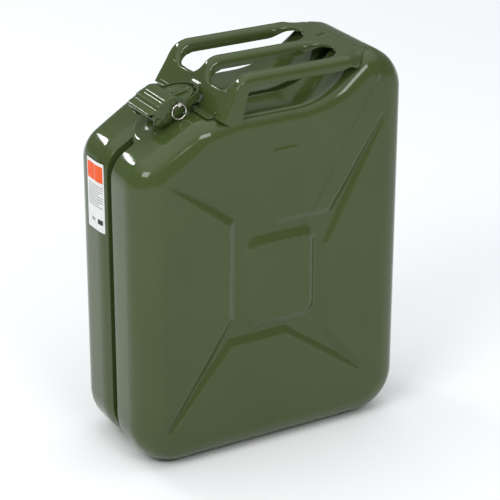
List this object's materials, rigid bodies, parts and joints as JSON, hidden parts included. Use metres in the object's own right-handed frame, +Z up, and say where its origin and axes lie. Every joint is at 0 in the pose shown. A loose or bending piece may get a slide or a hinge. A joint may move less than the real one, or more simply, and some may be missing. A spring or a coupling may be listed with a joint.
{
  "type": "jerrycan",
  "caption": "Upright pressed steel fuel can with sloped shoulders, three carrying bars, pressed cross on both faces and a lever-locked cap with pull-ring pin.",
  "frame": {"origin": "centre of the bounding box at the standing face", "axes": "+X from the spout end to the other end, +Y from the viewed face to the far face, +Z up"},
  "size_m": [0.3503, 0.1664, 0.463],
  "materials": {
    "enamel": "glossy",
    "bare_steel": "satin",
    "rubber": "matte",
    "label": "satin"
  },
  "bodies": {
    "can": {"front_shell": "enamel", "rear_shell": "enamel", "seam_band": "enamel", "handle_front_bracket": "enamel", "handle_bar_front": "enamel", "handle_bar_middle": "enamel", "handle_bar_rear": "enamel", "handle_rear_bracket": "enamel", "filler_neck": "enamel", "hinge_ears": "enamel", "breather_tube": "bare_steel", "hinge_pin": "bare_steel", "label": "label"},
    "lever_frame": {"lever": "enamel", "cap_pin": "bare_steel"},
    "cap_body": {"cap": "enamel", "cap_bracket": "enamel", "cap_rivets": "bare_steel", "cap_gasket": "rubber", "gasket_retainer": "enamel"},
    "lock": {"locking_pin": "bare_steel"},
    "ring": {"pull_ring": "bare_steel"}
  },
  "joints": [
    {"name": "lever_hinge", "type": "hinge", "parent": "can", "child": "lever_frame", "pos_m": [-0.12643, -0.012, 0.4131], "axis": [0, -1, 0], "range_deg": [0, 100]},
    {"name": "cap_tilt", "type": "hinge", "parent": "lever_frame", "child": "cap_body", "pos_m": [-0.10807, -0.012, 0.43255], "axis": [0, -1, 0], "range_deg": [-6, 0]},
    {"name": "locking_pin_slide", "type": "slide", "parent": "lever_frame", "child": "lock", "axis": [0, -1, 0], "range_m": [0, 0.02]},
    {"name": "ring_swing", "type": "hinge", "parent": "lock", "child": "ring", "pos_m": [-0.10229, -0.042, 0.4304], "axis": [-1, 0, 0], "range_deg": [0, 110]}
  ],
  "couplings": [
    {"joint": "cap_tilt", "follows": "lever_hinge", "ratio": -0.06}
  ]
}
